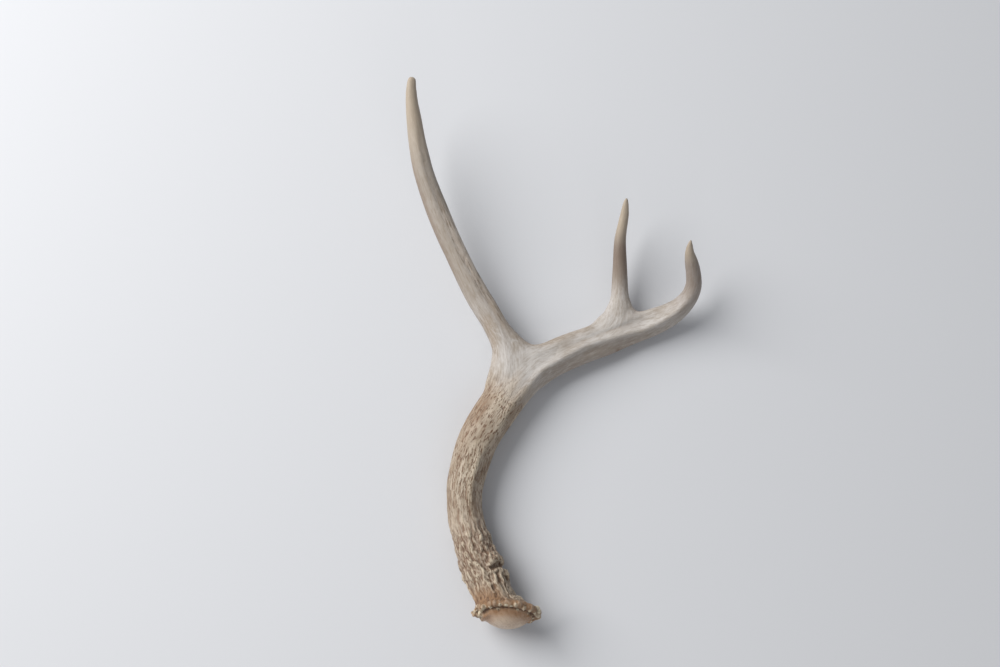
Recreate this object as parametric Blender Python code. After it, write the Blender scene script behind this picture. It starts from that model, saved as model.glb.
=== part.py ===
"""A shed antler of a white-tailed deer, lying on its outer side.

It is one piece of bone. It is modelled whole, then parted at its two forks, because a branching
piece is easier to reuse and to collide as its stem and prongs:

    lower_beam   the seal, the burr and the beam up to the first fork, fork included
    long_tine    the long prong of the first fork
    upper_beam   the beam between the two forks, second fork included
    short_tine   the upright prong of the second fork
    beam_tip     the beam past the second fork, which hooks upwards

Frame: metres, +Z up, the floor at Z = 0. +Y runs from the burr towards the long tine's tip and +X
towards the beam's tip. The stations are given from the burr's centre. At the end the whole is
shifted so that the origin lies under the middle of its box.
"""

from math import cos, pi, radians, sin

import bmesh
import bpy
from mathutils import Matrix, Vector

MM = 0.001

# Stations along each limb, in mm: x and y from the burr's centre, z above the floor, the limb's
# width as seen from above, its depth, and how far its upper face slopes down to the left of the
# limb's own direction (0 is a plain oval, 1 falls away to an edge).
BEAM = (
    (-4.5, -2, 25.2, 31.5, 33, 0.0),
    (-10.2, 11, 23.4, 30.2, 31, 0.0),
    (-17.2, 27, 20.6, 28.8, 29, 0.0),
    (-24.8, 46, 18.2, 27.8, 28, 0.0),
    (-31.5, 69, 16.8, 27.2, 28, 0.0),
    (-33, 85, 16.5, 27.7, 28.5, 0.0),
    (-31.5, 101, 16.3, 29.2, 28.5, 0.0),
    (-22, 132, 15.7, 32, 29, 0.05),
    (-2.8, 163.2, 14.6, 32.6, 30, 0.15),
    (11.5, 179.8, 15.2, 31.6, 26.5, 0.25),
    (23, 190.4, 15.2, 33.5, 25, 0.3),
    (37, 197.6, 15.0, 30.6, 24, 0.35),
    (59, 207, 13.4, 28.6, 22.5, 0.35),
    (78, 214.8, 11.8, 28.8, 22, 0.35),
    (97, 221.8, 10.8, 26.5, 22, 0.25),
    (120, 228.6, 12.2, 21.6, 20, 0.1),
    (135.5, 235.8, 17, 17.6, 18, 0.0),
    (145, 244.4, 24, 14.6, 15.5, 0.0),
    (148.5, 253, 31, 13.2, 14, 0.0),
    (147.3, 261.5, 39, 12.2, 13, 0.0),
    (145, 268.3, 46, 10.5, 11, 0.0),
    (143.2, 273.6, 52, 7.6, 8, 0.0),
    (143, 277.6, 56.5, 5.2, 5.6, 0.0),
    (143.3, 280.8, 60.5, 2.6, 2.8, 0.0),
)
LONG_TINE = (
    (-5, 158, 15.0, 24, 18, 0.0),
    (-3.5, 165, 15.0, 30, 19, 0.0),
    (-1, 172, 15.1, 34, 20, 0.0),
    (2.2, 180, 15.3, 36, 22, 0.0),
    (5, 190, 15.6, 37, 22, 0.0),
    (3.0, 203, 16.2, 32.5, 21, 0.0),
    (-3.0, 213.5, 17.0, 23.5, 20, 0.0),
    (-8.2, 222, 18.2, 20, 19, 0.0),
    (-12.8, 230, 19.6, 19.2, 18.5, 0.0),
    (-24.5, 248.5, 22.8, 18.8, 17.8, 0.0),
    (-40.6, 279.5, 29.2, 17.6, 17.2, 0.0),
    (-54.5, 310.5, 37, 17.8, 17, 0.0),
    (-65.6, 339.7, 46, 16.1, 15.5, 0.0),
    (-70.8, 361.5, 53, 14.3, 14, 0.0),
    (-74, 383.5, 60, 12.2, 12, 0.0),
    (-75.8, 397.6, 65, 9.4, 9.4, 0.0),
    (-76.2, 405, 68, 7.7, 7.8, 0.0),
    (-75.7, 411, 70.3, 6.4, 6.6, 0.0),
)
SHORT_TINE = (
    (90, 219, 12.0, 46, 16, 0.0),
    (90.3, 226, 12.6, 43, 17.5, 0.0),
    (90.6, 229.5, 12.9, 40, 17.3, 0.0),
    (91, 233, 13.1, 32.5, 17, 0.0),
    (91, 237, 13.4, 26, 16.3, 0.0),
    (91.2, 242, 13.9, 19.8, 15.4, 0.0),
    (91.2, 249, 14.8, 15.2, 14, 0.0),
    (91.2, 259.5, 17, 13.1, 12.8, 0.0),
    (91, 275.5, 23, 11.6, 12, 0.0),
    (91, 290.3, 29, 9.9, 10.5, 0.0),
    (92.2, 299, 33, 8.5, 9.2, 0.0),
    (93.7, 308, 37, 7.1, 7.5, 0.0),
    (94.6, 316, 41, 5, 5.2, 0.0),
    (95.3, 322, 44.2, 2.2, 2.4, 0.0),
)

# The burr: a lumpy ring round the beam's foot, and the seal, the dome by which the antler was
# held to the skull. Its outline runs from the dome's crown to inside the beam, as radius and
# height in mm. Heights are measured outwards along BURR_AXIS from the ring's middle.
BURR_AXIS = Vector((-0.05, -0.966, 0.255)).normalized()
BURR_OUTLINE = (
    (0.0, 12.4),
    (5.5, 11.9),
    (10.5, 10.4),
    (14.6, 8.0),
    (17.2, 5.4),
    (18.6, 3.4),
    (20.4, 2.8),
    (22.8, 3.6),
    (24.6, 2.4),
    (25.2, 0.2),
    (23.8, -1.8),
    (19.8, -2.8),
    (16.0, -5.2),
    (13.0, -9.0),
    (8.0, -10.0),
    (0.0, -10.0),
)
BURR_CENTRE = (0, -1.2, 24.9)  # the ring's middle, mm
RIM_STARTS = 19.0  # beyond this radius the ring is lobed, mm
RIM_LOBES = ((5, 0.6, 0.020), (9, 2.1, 0.028), (14, 4.0, 0.030), (19, 1.2, 0.018))

# Larger knobs on the beam's foot, in mm: the share of the way along the beam, the angle round
# it (0 points right, 90 up), the knob's half-length along the beam and its half-width.
KNOBS = (
    (0.122, 12, 4.2, 3.2),
    (0.088, 8, 4.5, 2.6),
    (0.064, 5, 4.0, 2.6),
    (0.160, 10, 3.6, 1.8),
    (0.075, 176, 3.4, 2.6),
    (0.112, 170, 3.8, 2.2),
    (0.100, 75, 3.6, 2.4),
    (0.068, 118, 3.6, 2.2),
    (0.105, 300, 4.2, 2.8),
    (0.070, 235, 4.0, 2.6),
    (0.148, 220, 3.6, 2.2),
)
KNOB_SINK = 0.45  # a knob's centre lies inside the surface by this share of its half-width

# Where the branches part: the number of the limb's station there, counted from 0.
LONG_TINE_ROOT = 8
UPPER_BEAM_ROOT = 11
SHORT_TINE_ROOT = 6
BEAM_TIP_ROOT = 15
NODE_GAP = 0.3 * MM

# How far a branch's cutter reaches from its root: along the branch, to its left and right, mm.
CUTTER_REACH = {
    "long_tine": (300, 60, 60),
    "upper_beam": (300, 200, 60),
    "short_tine": (150, 40, 40),
    "beam_tip": (150, 100, 40),
}
CUTTER_HEIGHT = 300

# Where the forks are smoothed: their crotches, and the outer side of the first fork.
CROTCHES = ((20, 211, 16), (-17, 186, 15), (76, 228, 12), (105, 239, 13))

RING_POINTS = 32
SAMPLES_PER_SPAN = 6
VOXEL = 1.1 * MM  # the grid on which the limbs grow into one skin
EVEN_OUT = 3  # smoothing steps all over
FILLET_STEPS = 60  # smoothing steps at the forks
FILLET_RADIUS = 26 * MM
TRIANGLES = 8200  # in the whole antler, before it is parted
SHARP_EDGE = radians(50)

BONE_COLOURS = {
    "lower_beam": (0.42, 0.33, 0.24),
    "upper_beam": (0.47, 0.42, 0.36),
    "long_tine": (0.50, 0.43, 0.34),
    "short_tine": (0.49, 0.43, 0.36),
    "beam_tip": (0.49, 0.41, 0.33),
}


def clear_scene():
    for obj in list(bpy.data.objects):
        bpy.data.objects.remove(obj)


def catmull_rom(a, b, c, d, t):
    """The curve between b and c, for single numbers."""
    return 0.5 * (
        2 * b
        + (c - a) * t
        + (2 * a - 5 * b + 4 * c - d) * t * t
        + (3 * b - 3 * c + d - a) * t * t * t
    )


def sample_limb(stations):
    """Sections along a limb: (centre, direction, side, lift, width, depth, slope), in metres."""
    rows = []
    last = len(stations) - 1
    for i in range(last):
        a, b, c, d = (stations[min(max(k, 0), last)] for k in (i - 1, i, i + 1, i + 2))
        for step in range(SAMPLES_PER_SPAN):
            t = step / SAMPLES_PER_SPAN
            rows.append([catmull_rom(*values, t) for values in zip(a, b, c, d)])
    rows.append(list(stations[-1]))
    centres = [Vector(row[:3]) * MM for row in rows]
    sections = []
    for i, row in enumerate(rows):
        ahead = centres[min(i + 1, len(rows) - 1)] - centres[max(i - 1, 0)]
        direction = ahead.normalized()
        side = direction.cross(Vector((0, 0, 1))).normalized()
        lift = side.cross(direction)
        width, depth, slope = row[3] * MM, row[4] * MM, row[5]
        sections.append((centres[i], direction, side, lift, width, depth, slope))
    return sections


def section_at(sections, share):
    """The section at that share of the limb's length."""
    lengths = [0.0]
    for before, after in zip(sections, sections[1:]):
        lengths.append(lengths[-1] + (after[0] - before[0]).length)
    wanted = share * lengths[-1]
    nearest = min(range(len(lengths)), key=lambda i: abs(lengths[i] - wanted))
    return sections[nearest]


def root_of(sections, station):
    return sections[station * SAMPLES_PER_SPAN]


def section_point(section, angle):
    """A point of the section's outline. Angle 0 is the limb's right, pi / 2 its upper face."""
    centre, _, side, lift, width, depth, slope = section
    across = cos(angle)
    height = sin(angle)
    if height > 0:
        height *= 1 - slope * (1 - across) / 2
    return centre + side * across * width / 2 + lift * height * depth / 2


def mesh_object(name, make):
    """A new object whose mesh is filled by make(bm)."""
    bm = bmesh.new()
    make(bm)
    bmesh.ops.recalc_face_normals(bm, faces=bm.faces)
    mesh = bpy.data.meshes.new(name)
    bm.to_mesh(mesh)
    bm.free()
    obj = bpy.data.objects.new(name, mesh)
    bpy.context.scene.collection.objects.link(obj)
    return obj


def loft(bm, rings):
    """A closed skin over rings of points, with a flat cap at each end."""
    loops = [[bm.verts.new(point) for point in ring] for ring in rings]
    for one, two in zip(loops, loops[1:]):
        for i in range(len(one)):
            k = (i + 1) % len(one)
            bm.faces.new((one[i], one[k], two[k], two[i]))
    bm.faces.new(loops[0])
    bm.faces.new(loops[-1])


def make_limb(name, sections):
    """A limb's tube, with a half-round end where it finishes in a tip."""
    angles = [2 * pi * i / RING_POINTS for i in range(RING_POINTS)]
    rings = [[section_point(section, a) for a in angles] for section in sections]
    centre, direction, *_ = sections[-1]
    bulge = 0.5 * sections[-1][4]
    for turn in (radians(30), radians(60), radians(80)):
        shifted = centre + direction * bulge * sin(turn)
        rings.append([shifted + (p - centre) * cos(turn) for p in rings[len(sections) - 1]])
    return mesh_object(name, lambda bm: loft(bm, rings))


def make_burr(centre):
    """The ring and the dome of the seal, turned about BURR_AXIS, with a lobed rim."""
    side = BURR_AXIS.cross(Vector((0, 0, 1))).normalized()
    lift = side.cross(BURR_AXIS)
    steps = 96
    angles = [2 * pi * i / steps for i in range(steps)]

    def lobed(radius, angle):
        swell = sum(size * cos(count * angle + phase) for count, phase, size in RIM_LOBES)
        share = min(max((radius - RIM_STARTS) / 5, 0), 1)
        return radius * (1 + share * swell)

    def ring(radius, height):
        middle = centre + BURR_AXIS * height * MM
        return [
            middle + (side * cos(a) + lift * sin(a)) * lobed(max(radius, 0.05), a) * MM
            for a in angles
        ]

    rings = [ring(radius, height) for radius, height in BURR_OUTLINE]
    return mesh_object("burr", lambda bm: loft(bm, rings))


def make_knob(beam, share, degrees, half_length, half_width):
    """An egg-shaped knob half sunk in the beam's surface."""
    section = section_at(beam, share)
    centre, direction, *_ = section
    surface = section_point(section, radians(degrees))
    outwards = (surface - centre).normalized()
    across = direction.cross(outwards).normalized()
    middle = surface - outwards * KNOB_SINK * half_width * MM
    turn = Matrix((direction, across, outwards)).transposed().to_4x4()
    size = Matrix.Diagonal((half_length * MM, half_width * MM, half_width * MM, 1))
    place = Matrix.Translation(middle) @ turn @ size
    return mesh_object(
        "knob",
        lambda bm: bmesh.ops.create_icosphere(bm, subdivisions=3, radius=1, matrix=place),
    )


def joined(name, parts):
    """One object that holds the meshes of all these, still overlapping."""
    bm = bmesh.new()
    for part in parts:
        bm.from_mesh(part.data)
        bpy.data.objects.remove(part)
    mesh = bpy.data.meshes.new(name)
    bm.to_mesh(mesh)
    bm.free()
    obj = bpy.data.objects.new(name, mesh)
    bpy.context.scene.collection.objects.link(obj)
    return obj


def applied(obj):
    """Replaces the object's mesh by the one that its modifiers make."""
    bpy.context.view_layer.update()
    graph = bpy.context.evaluated_depsgraph_get()
    mesh = bpy.data.meshes.new_from_object(obj.evaluated_get(graph))
    obj.modifiers.clear()
    obj.data = mesh
    return obj


def soften(obj, name, steps, group=""):
    smooth = obj.modifiers.new(name, "SMOOTH")
    smooth.factor = 0.5
    smooth.iterations = steps
    smooth.vertex_group = group


def weigh_forks(obj):
    """A vertex group that is 1 at the forks' crotches and fades out around them."""
    group = obj.vertex_groups.new(name="forks")
    crotches = [Vector(crotch) * MM for crotch in CROTCHES]
    for vertex in obj.data.vertices:
        away = min((vertex.co - crotch).length for crotch in crotches) / FILLET_RADIUS
        if away < 1:
            group.add([vertex.index], (1 - away * away) ** 2, "REPLACE")


def box_maker(place):
    return lambda bm: bmesh.ops.create_cube(bm, size=1, matrix=place)


def floor_box():
    """A cutter that fills the space just under the floor."""
    wide, deep = 1200 * MM, 20 * MM
    place = Matrix.Translation((0, 0, -deep / 2)) @ Matrix.Diagonal((wide, wide, deep, 1))
    return as_cutter(mesh_object("floor_cutter", box_maker(place)))


def as_cutter(obj):
    obj.hide_render = True
    obj.display_type = "WIRE"
    return obj


def whole_antler(beam, long_tine, short_tine):
    """The antler in one piece: its limbs, burr and knobs grown into one skin."""
    parts = [
        make_limb("beam", beam),
        make_limb("long", long_tine),
        make_limb("short", short_tine),
        make_burr(Vector(BURR_CENTRE) * MM),
    ]
    parts += [make_knob(beam, *knob) for knob in KNOBS]
    antler = joined("antler", parts)
    skin = antler.modifiers.new("skin", "REMESH")
    skin.mode = "VOXEL"
    skin.voxel_size = VOXEL
    applied(antler)

    weigh_forks(antler)
    soften(antler, "fillets", FILLET_STEPS, "forks")
    soften(antler, "even", EVEN_OUT)
    applied(antler)

    thin = antler.modifiers.new("thin", "DECIMATE")
    thin.ratio = TRIANGLES / (2 * len(antler.data.polygons))
    flats = antler.modifiers.new("flats", "BOOLEAN")
    flats.operation = "DIFFERENCE"
    flats.solver = "EXACT"
    flats.object = floor_box()
    applied(antler)
    bpy.data.objects.remove(bpy.data.objects["floor_cutter"])
    return antler


def branch_cutters(name, root):
    """Two boxes that hold a branch from its root section outwards. The first takes the branch.
    The second starts a gap further down, and takes the branch off its stem."""
    centre, direction, side, lift, *_ = root
    turn = Matrix((side, direction, lift)).transposed().to_4x4()
    reach, left, right = CUTTER_REACH[name]
    pair = []
    for part, start in (("branch", NODE_GAP / 2), ("stem", -NODE_GAP / 2)):
        low = Vector((-left * MM, start, -CUTTER_HEIGHT / 2 * MM))
        high = Vector((right, reach, CUTTER_HEIGHT / 2)) * MM
        middle = Matrix.Translation((low + high) / 2)
        place = Matrix.Translation(centre) @ turn @ middle @ Matrix.Diagonal((*(high - low), 1))
        pair.append(as_cutter(mesh_object(f"{name}_{part}_cutter", box_maker(place))))
    return pair


def cut(obj, operation, cutter):
    modifier = obj.modifiers.new(cutter.name, "BOOLEAN")
    modifier.operation = operation
    modifier.solver = "EXACT"
    modifier.object = cutter


def make_node(name, antler, inside, outside):
    """A node: the part of the antler inside these cutters and outside those."""
    obj = bpy.data.objects.new(name, antler.data.copy())
    bpy.context.scene.collection.objects.link(obj)
    for cutter in inside:
        cut(obj, "INTERSECT", cutter)
    for cutter in outside:
        cut(obj, "DIFFERENCE", cutter)
    obj.data.materials.clear()
    obj.data.materials.append(bone(name, BONE_COLOURS[name]))
    obj.data.shade_smooth()
    obj.data.set_sharp_from_angle(angle=SHARP_EDGE)
    return obj


def bone(name, colour):
    material = bpy.data.materials.new(name + "_bone")
    material.use_nodes = True
    shader = material.node_tree.nodes["Principled BSDF"]
    shader.inputs["Base Color"].default_value = (*colour, 1)
    shader.inputs["Roughness"].default_value = 0.55
    shader.inputs["Metallic"].default_value = 0.0
    return material


def hang_on_origin(objects, antler):
    """Hangs everything on an empty that puts the origin under the middle of the antler's box."""
    corners = [vertex.co for vertex in antler.data.vertices]
    low = Vector([min(corner[axis] for corner in corners) for axis in range(3)])
    high = Vector([max(corner[axis] for corner in corners) for axis in range(3)])
    empty = bpy.data.objects.new("antler_origin", None)
    bpy.context.scene.collection.objects.link(empty)
    empty.location = (-(low.x + high.x) / 2, -(low.y + high.y) / 2, -low.z)
    for obj in objects:
        obj.parent = empty


def main():
    clear_scene()
    beam, long_tine, short_tine = (sample_limb(s) for s in (BEAM, LONG_TINE, SHORT_TINE))
    antler = whole_antler(beam, long_tine, short_tine)

    roots = {
        "long_tine": root_of(long_tine, LONG_TINE_ROOT),
        "upper_beam": root_of(beam, UPPER_BEAM_ROOT),
        "short_tine": root_of(short_tine, SHORT_TINE_ROOT),
        "beam_tip": root_of(beam, BEAM_TIP_ROOT),
    }
    branch, stem = {}, {}
    for name, root in roots.items():
        branch[name], stem[name] = branch_cutters(name, root)
    upper_ends = [stem["short_tine"], stem["beam_tip"], stem["long_tine"]]
    nodes = [
        make_node("lower_beam", antler, [], [stem["long_tine"], stem["upper_beam"]]),
        make_node("long_tine", antler, [branch["long_tine"]], []),
        make_node("upper_beam", antler, [branch["upper_beam"]], upper_ends),
        make_node("short_tine", antler, [branch["short_tine"]], []),
        make_node("beam_tip", antler, [branch["beam_tip"]], [stem["short_tine"]]),
    ]
    hang_on_origin([*nodes, *branch.values(), *stem.values()], antler)
    bpy.data.objects.remove(antler)


main()
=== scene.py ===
from math import cos, pi, radians, sin

import bpy
import numpy as np
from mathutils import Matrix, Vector
from mathutils.bvhtree import BVHTree


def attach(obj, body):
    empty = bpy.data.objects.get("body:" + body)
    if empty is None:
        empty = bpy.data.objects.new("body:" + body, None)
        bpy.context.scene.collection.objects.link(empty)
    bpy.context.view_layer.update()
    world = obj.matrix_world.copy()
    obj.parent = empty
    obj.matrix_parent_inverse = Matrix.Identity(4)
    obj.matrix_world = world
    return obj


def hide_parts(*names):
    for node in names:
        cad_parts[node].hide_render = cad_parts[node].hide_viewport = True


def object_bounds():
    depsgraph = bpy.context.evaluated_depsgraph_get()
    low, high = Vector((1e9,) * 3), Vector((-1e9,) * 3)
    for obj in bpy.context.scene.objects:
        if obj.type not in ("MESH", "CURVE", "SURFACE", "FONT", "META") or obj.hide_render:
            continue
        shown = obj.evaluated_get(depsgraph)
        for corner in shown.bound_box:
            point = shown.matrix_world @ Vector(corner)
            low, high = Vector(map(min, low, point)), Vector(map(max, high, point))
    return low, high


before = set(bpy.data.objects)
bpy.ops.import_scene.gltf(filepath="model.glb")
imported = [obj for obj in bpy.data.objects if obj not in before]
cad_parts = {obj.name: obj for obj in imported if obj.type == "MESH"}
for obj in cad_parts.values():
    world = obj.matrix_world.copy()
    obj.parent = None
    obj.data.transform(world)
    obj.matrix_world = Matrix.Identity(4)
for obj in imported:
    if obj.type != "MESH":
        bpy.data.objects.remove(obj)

# A shed deer antler, lying on its outer side. Lengths in the sculpting code are millimetres.
# s runs along a limb from the seal to the tip, a is the height above its centreline and b the
# offset to the right of it.
MM = 0.001
CAD_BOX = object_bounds()
GAP_CLOSE = 0.25  # how far each CAD part swells, so that the 0.3 mm cuts between them close
COARSE = 1.2  # grid of the first skin, which loses the CAD's facets
FINE = 0.56  # grid of the skin that is sculpted
TRIANGLES = 188000
LINE_STEP = 1.5  # between a centreline's samples
LINE_PASSES = 24  # that round a centreline's corners
RAY = 60  # how far a ray looks for the skin

# Centrelines in the frame: x, y, z and the limb's mean half-width there.
BEAM_LINE = (
    (-36.6, -214, 22, 12), (-42, -203, 25.2, 16), (-47.7, -190, 23.4, 15.3), (-54.7, -174, 20.6, 14.4),
    (-62.3, -155, 18.2, 14), (-69, -132, 16.8, 13.8), (-70.5, -116, 16.5, 14), (-69, -100, 16.3, 14.4),
    (-59.5, -69, 15.7, 15.2), (-40.3, -37.8, 14.6, 15.6), (-14.5, -10.6, 15.2, 14.5),
    (21.5, 6, 13.4, 12.8), (59.5, 20.8, 10.8, 12), (82.5, 27.6, 12.2, 10.4), (98, 34.8, 17, 8.9),
    (107.5, 43.4, 24, 7.5), (111, 52, 31, 6.8), (109.8, 60.5, 39, 6.3), (105.7, 72.6, 52, 3.9),
    (105.8, 80.5, 61, 1.5),
)
LONG_TINE_LINE = (
    (-59.5, -69, 15.7, 15.2), (-44, -40, 15.2, 15), (-37, -18, 15.6, 16), (-38, 6, 16.5, 14),
    (-45.7, 21, 18.2, 9.8), (-50.3, 29, 19.6, 9.4), (-62, 47.5, 22.8, 9.2), (-78.1, 78.5, 29.2, 8.7),
    (-92, 109.5, 37, 8.7), (-103.1, 138.7, 46, 7.9), (-108.3, 160.5, 53, 7.1),
    (-111.5, 182.5, 60, 6.1), (-113.3, 196.6, 65, 4.7), (-113.4, 212, 71, 2.5),
)
SHORT_TINE_LINE = (
    (21.5, 6, 13.4, 12.8), (40.5, 13.8, 11.8, 12.5), (51, 24, 12.3, 12.5), (53.3, 35, 13.4, 11),
    (53.6, 48, 14.8, 7.4), (53.6, 58.5, 17, 6.5), (53.5, 74.5, 23, 5.9), (53.5, 89.3, 29, 5.1),
    (56, 107, 37, 3.7), (57.9, 121.5, 44.5, 1.5),
)


# --- numbers on meshes -------------------------------------------------------------------------

def points_of(mesh):
    flat = np.empty(len(mesh.vertices) * 3, np.float32)
    mesh.vertices.foreach_get("co", flat)
    return flat.reshape(-1, 3).astype(float) / MM


def set_points(mesh, points):
    mesh.vertices.foreach_set("co", (points * MM).astype(np.float32).ravel())
    mesh.update()


def normals_of(mesh):
    flat = np.empty(len(mesh.vertices) * 3, np.float32)
    mesh.vertex_normals.foreach_get("vector", flat)
    return flat.reshape(-1, 3).astype(float)


def smoothstep(low, high, values):
    t = np.clip((values - low) / (high - low), 0, 1)
    return t * t * (3 - 2 * t)


def hump(centre, width, values):
    """1 at the centre, falling smoothly to 0 at width on either side."""
    return 1 - smoothstep(0, 1, np.abs(values - centre) / width)


def span(rise, full, ease, end, values):
    """0 up to rise, 1 from full to ease, and 0 from end on."""
    return smoothstep(rise, full, values) * (1 - smoothstep(ease, end, values))


def unit(vector):
    return np.array(vector) / np.linalg.norm(vector)


class Web:
    """The edges of a mesh, for averages over neighbouring points."""

    def __init__(self, mesh):
        flat = np.empty(len(mesh.edges) * 2, np.int32)
        mesh.edges.foreach_get("vertices", flat)
        self.pairs = flat.reshape(-1, 2)
        self.count = len(mesh.vertices)
        self.degree = np.maximum(np.bincount(flat, minlength=self.count), 1)

    def mean(self, values):
        if values.ndim > 1:
            return np.column_stack([self.mean(column) for column in values.T])
        first, second = self.pairs.T
        total = np.bincount(first, values[second], self.count)
        total += np.bincount(second, values[first], self.count)
        return total / self.degree

    def spread(self, values, passes, share=0.5):
        for _ in range(passes):
            values = values + share * (self.mean(values) - values)
        return values

    def even_out(self, points, passes):
        """Smooths without shrinking: each pass in is followed by a slightly larger one out."""
        for _ in range(passes):
            points = points + 0.5 * (self.mean(points) - points)
            points = points - 0.52 * (self.mean(points) - points)
        return points


# --- noise -------------------------------------------------------------------------------------

class Noise:
    """Seeded gradient noise and cell noise for arrays of points."""

    def __init__(self, seed):
        rng = np.random.default_rng(seed)
        self.perm = rng.permutation(256)
        slopes = rng.normal(size=(256, 3))
        self.slopes = slopes / np.linalg.norm(slopes, axis=1)[:, None]
        self.spots = rng.random((256, 3))

    def index(self, x, y, z):
        perm = self.perm
        return perm[(perm[(perm[x & 255] + y) & 255] + z) & 255]

    def smooth(self, points):
        """Values of about -1 to 1, on features of about unit size."""
        base = np.floor(points).astype(int)
        part = points - base
        fade = part ** 3 * (part * (part * 6 - 15) + 10)
        total = np.zeros(len(points))
        for corner in range(8):
            step = np.array([corner & 1, corner >> 1 & 1, corner >> 2])
            slope = self.slopes[self.index(*(base + step).T)]
            share = np.prod(np.where(step, fade, 1 - fade), axis=1)
            total += share * np.einsum("ij,ij->i", slope, part - step)
        return total * 1.6

    def fractal(self, points, octaves, gain=0.5):
        total, size, most = np.zeros(len(points)), 1.0, 0.0
        for _ in range(octaves):
            total += size * self.smooth(points)
            most += size
            size *= gain
            points = points * 2.03 + 17.3
        return total / most

    def ridged(self, points, octaves, gain=0.5):
        """1 on thin crests, falling towards 0 between them."""
        total, size, most = np.zeros(len(points)), 1.0, 0.0
        for _ in range(octaves):
            total += size * (1 - np.minimum(np.abs(self.smooth(points)) * 2.2, 1))
            most += size
            size *= gain
            points = points * 2.03 + 9.1
        return total / most

    def cells(self, points):
        """The distance to the nearest scattered spot, and a number that is that spot's own."""
        base = np.floor(points).astype(int)
        nearest, own = np.full(len(points), 9.0), np.zeros(len(points))
        for n in range(27):
            cell = base + np.array([n % 3, n // 3 % 3, n // 9]) - 1
            index = self.index(*cell.T)
            away = np.linalg.norm(cell + 0.15 + 0.7 * self.spots[index] - points, axis=1)
            closer = away < nearest
            nearest = np.where(closer, away, nearest)
            own = np.where(closer, index / 255, own)
        return nearest, own


# --- skins -------------------------------------------------------------------------------------

# Masses that fill the crotches of the forks: (middle, half-axes).
FORK_WEBS = (
    ((-24, 0, 15.5), (10, 9.6, 11.5)),
    ((-14, -2, 15.5), (12, 10.4, 11.5)),
    ((-4, 0.6, 14.5), (12, 9.2, 11)),
    ((29, 14.5, 12.5), (14, 10.2, 9.5)),
    ((67, 25.5, 13), (8, 8.3, 8.5)),
)
FORK_MIDDLES = ((-20, 2, 22), (33, 24, 17), (66, 30, 11))  # (x, y, reach) of the evened skin
FORK_FADE = (0.5, 1.2)  # shares of that reach between which the evening fades out
FORK_PASSES = 60  # that even out the forks
BODY_PASSES = 14  # that even out the first skin
GROWN_PASSES = 2  # that even out the skin with its beads and cords
WELD_REACH = 1e-6  # metres


def show(mesh, name):
    obj = bpy.data.objects.new(name, mesh)
    bpy.context.scene.collection.objects.link(obj)
    return obj


def through(mesh, kind, **settings):
    """The mesh after one modifier."""
    obj = show(mesh, "working")
    modifier = obj.modifiers.new("step", kind)
    for name, value in settings.items():
        setattr(modifier, name, value)
    graph = bpy.context.evaluated_depsgraph_get()
    result = bpy.data.meshes.new_from_object(obj.evaluated_get(graph))
    bpy.data.objects.remove(obj)
    bpy.data.meshes.remove(mesh)
    return result


def gather(parts, name):
    """One mesh from a list of (points, faces)."""
    points, faces, start = [], [], 0
    for part_points, part_faces in parts:
        points.append(np.asarray(part_points, float))
        faces += [tuple(corner + start for corner in face) for face in part_faces]
        start += len(part_points)
    mesh = bpy.data.meshes.new(name)
    mesh.from_pydata((np.vstack(points) * MM).tolist(), [], faces)
    mesh.update()
    return mesh


def swollen_cad():
    """The CAD parts, each with its loose faces merged and swollen so that the cuts close."""
    parts = []
    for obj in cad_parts.values():
        merged = through(obj.data.copy(), "WELD", merge_threshold=WELD_REACH)
        points = points_of(merged) + GAP_CLOSE * normals_of(merged)
        parts.append((points, [tuple(face.vertices) for face in merged.polygons]))
        bpy.data.meshes.remove(merged)
    return parts


def settled(web, points):
    """The points evened out round each fork, so that its crotch is one soft web."""
    share = np.zeros(len(points))
    for x, y, reach in FORK_MIDDLES:
        away = np.hypot(points[:, 0] - x, points[:, 1] - y) / reach
        share = np.maximum(share, 1 - smoothstep(*FORK_FADE, away))
    for _ in range(FORK_PASSES):
        points = points + 0.5 * share[:, None] * (web.mean(points) - points)
    return points


def smooth_body():
    """The whole antler as one even skin without facets."""
    webs = [round_blob(np.array(middle), np.diag(half_axes)) for middle, half_axes in FORK_WEBS]
    mesh = gather(swollen_cad() + webs, "body")
    mesh = through(mesh, "REMESH", mode="VOXEL", voxel_size=COARSE * MM)
    web = Web(mesh)
    set_points(mesh, settled(web, web.even_out(points_of(mesh), BODY_PASSES)))
    points = points_of(mesh)
    set_points(mesh, points - GAP_CLOSE * normals_of(mesh))
    return mesh


# --- centrelines -------------------------------------------------------------------------------

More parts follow.
